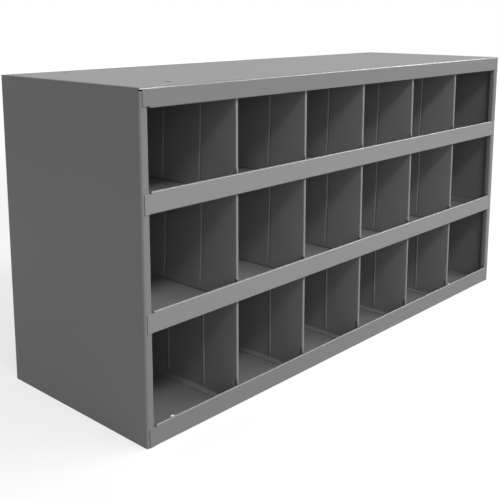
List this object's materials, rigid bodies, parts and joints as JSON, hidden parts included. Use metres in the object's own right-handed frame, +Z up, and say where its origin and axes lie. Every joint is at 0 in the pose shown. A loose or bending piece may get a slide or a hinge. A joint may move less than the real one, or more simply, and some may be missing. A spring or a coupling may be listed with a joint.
{
  "type": "bin cabinet",
  "caption": "Welded sheet-steel bin cabinet: open-fronted rows of bins with hemmed lips, ribbed dividers and folded grey panels, for loose workshop parts.",
  "frame": {"origin": "on the floor, under the middle of the cabinet's outside box", "axes": "+Z up, -Y towards the open front, +X to the viewer's right when facing the front"},
  "size_m": [0.9144, 0.3048, 0.4572],
  "materials": {
    "grey_paint": "satin baked powder coat with a fine orange peel"
  },
  "bodies": {
    "root": {"top_panel": "grey_paint", "left_side_panel": "grey_paint", "right_side_panel": "grey_paint", "bottom_tray": "grey_paint", "lower_shelf": "grey_paint", "upper_shelf": "grey_paint", "back_sheet": "grey_paint", "divider_top_1": "grey_paint", "divider_top_2": "grey_paint", "divider_top_3": "grey_paint", "divider_top_4": "grey_paint", "divider_top_5": "grey_paint", "divider_middle_1": "grey_paint", "divider_middle_2": "grey_paint", "divider_middle_3": "grey_paint", "divider_middle_4": "grey_paint", "divider_middle_5": "grey_paint", "divider_bottom_1": "grey_paint", "divider_bottom_2": "grey_paint", "divider_bottom_3": "grey_paint", "divider_bottom_4": "grey_paint", "divider_bottom_5": "grey_paint"}
  },
  "joints": []
}
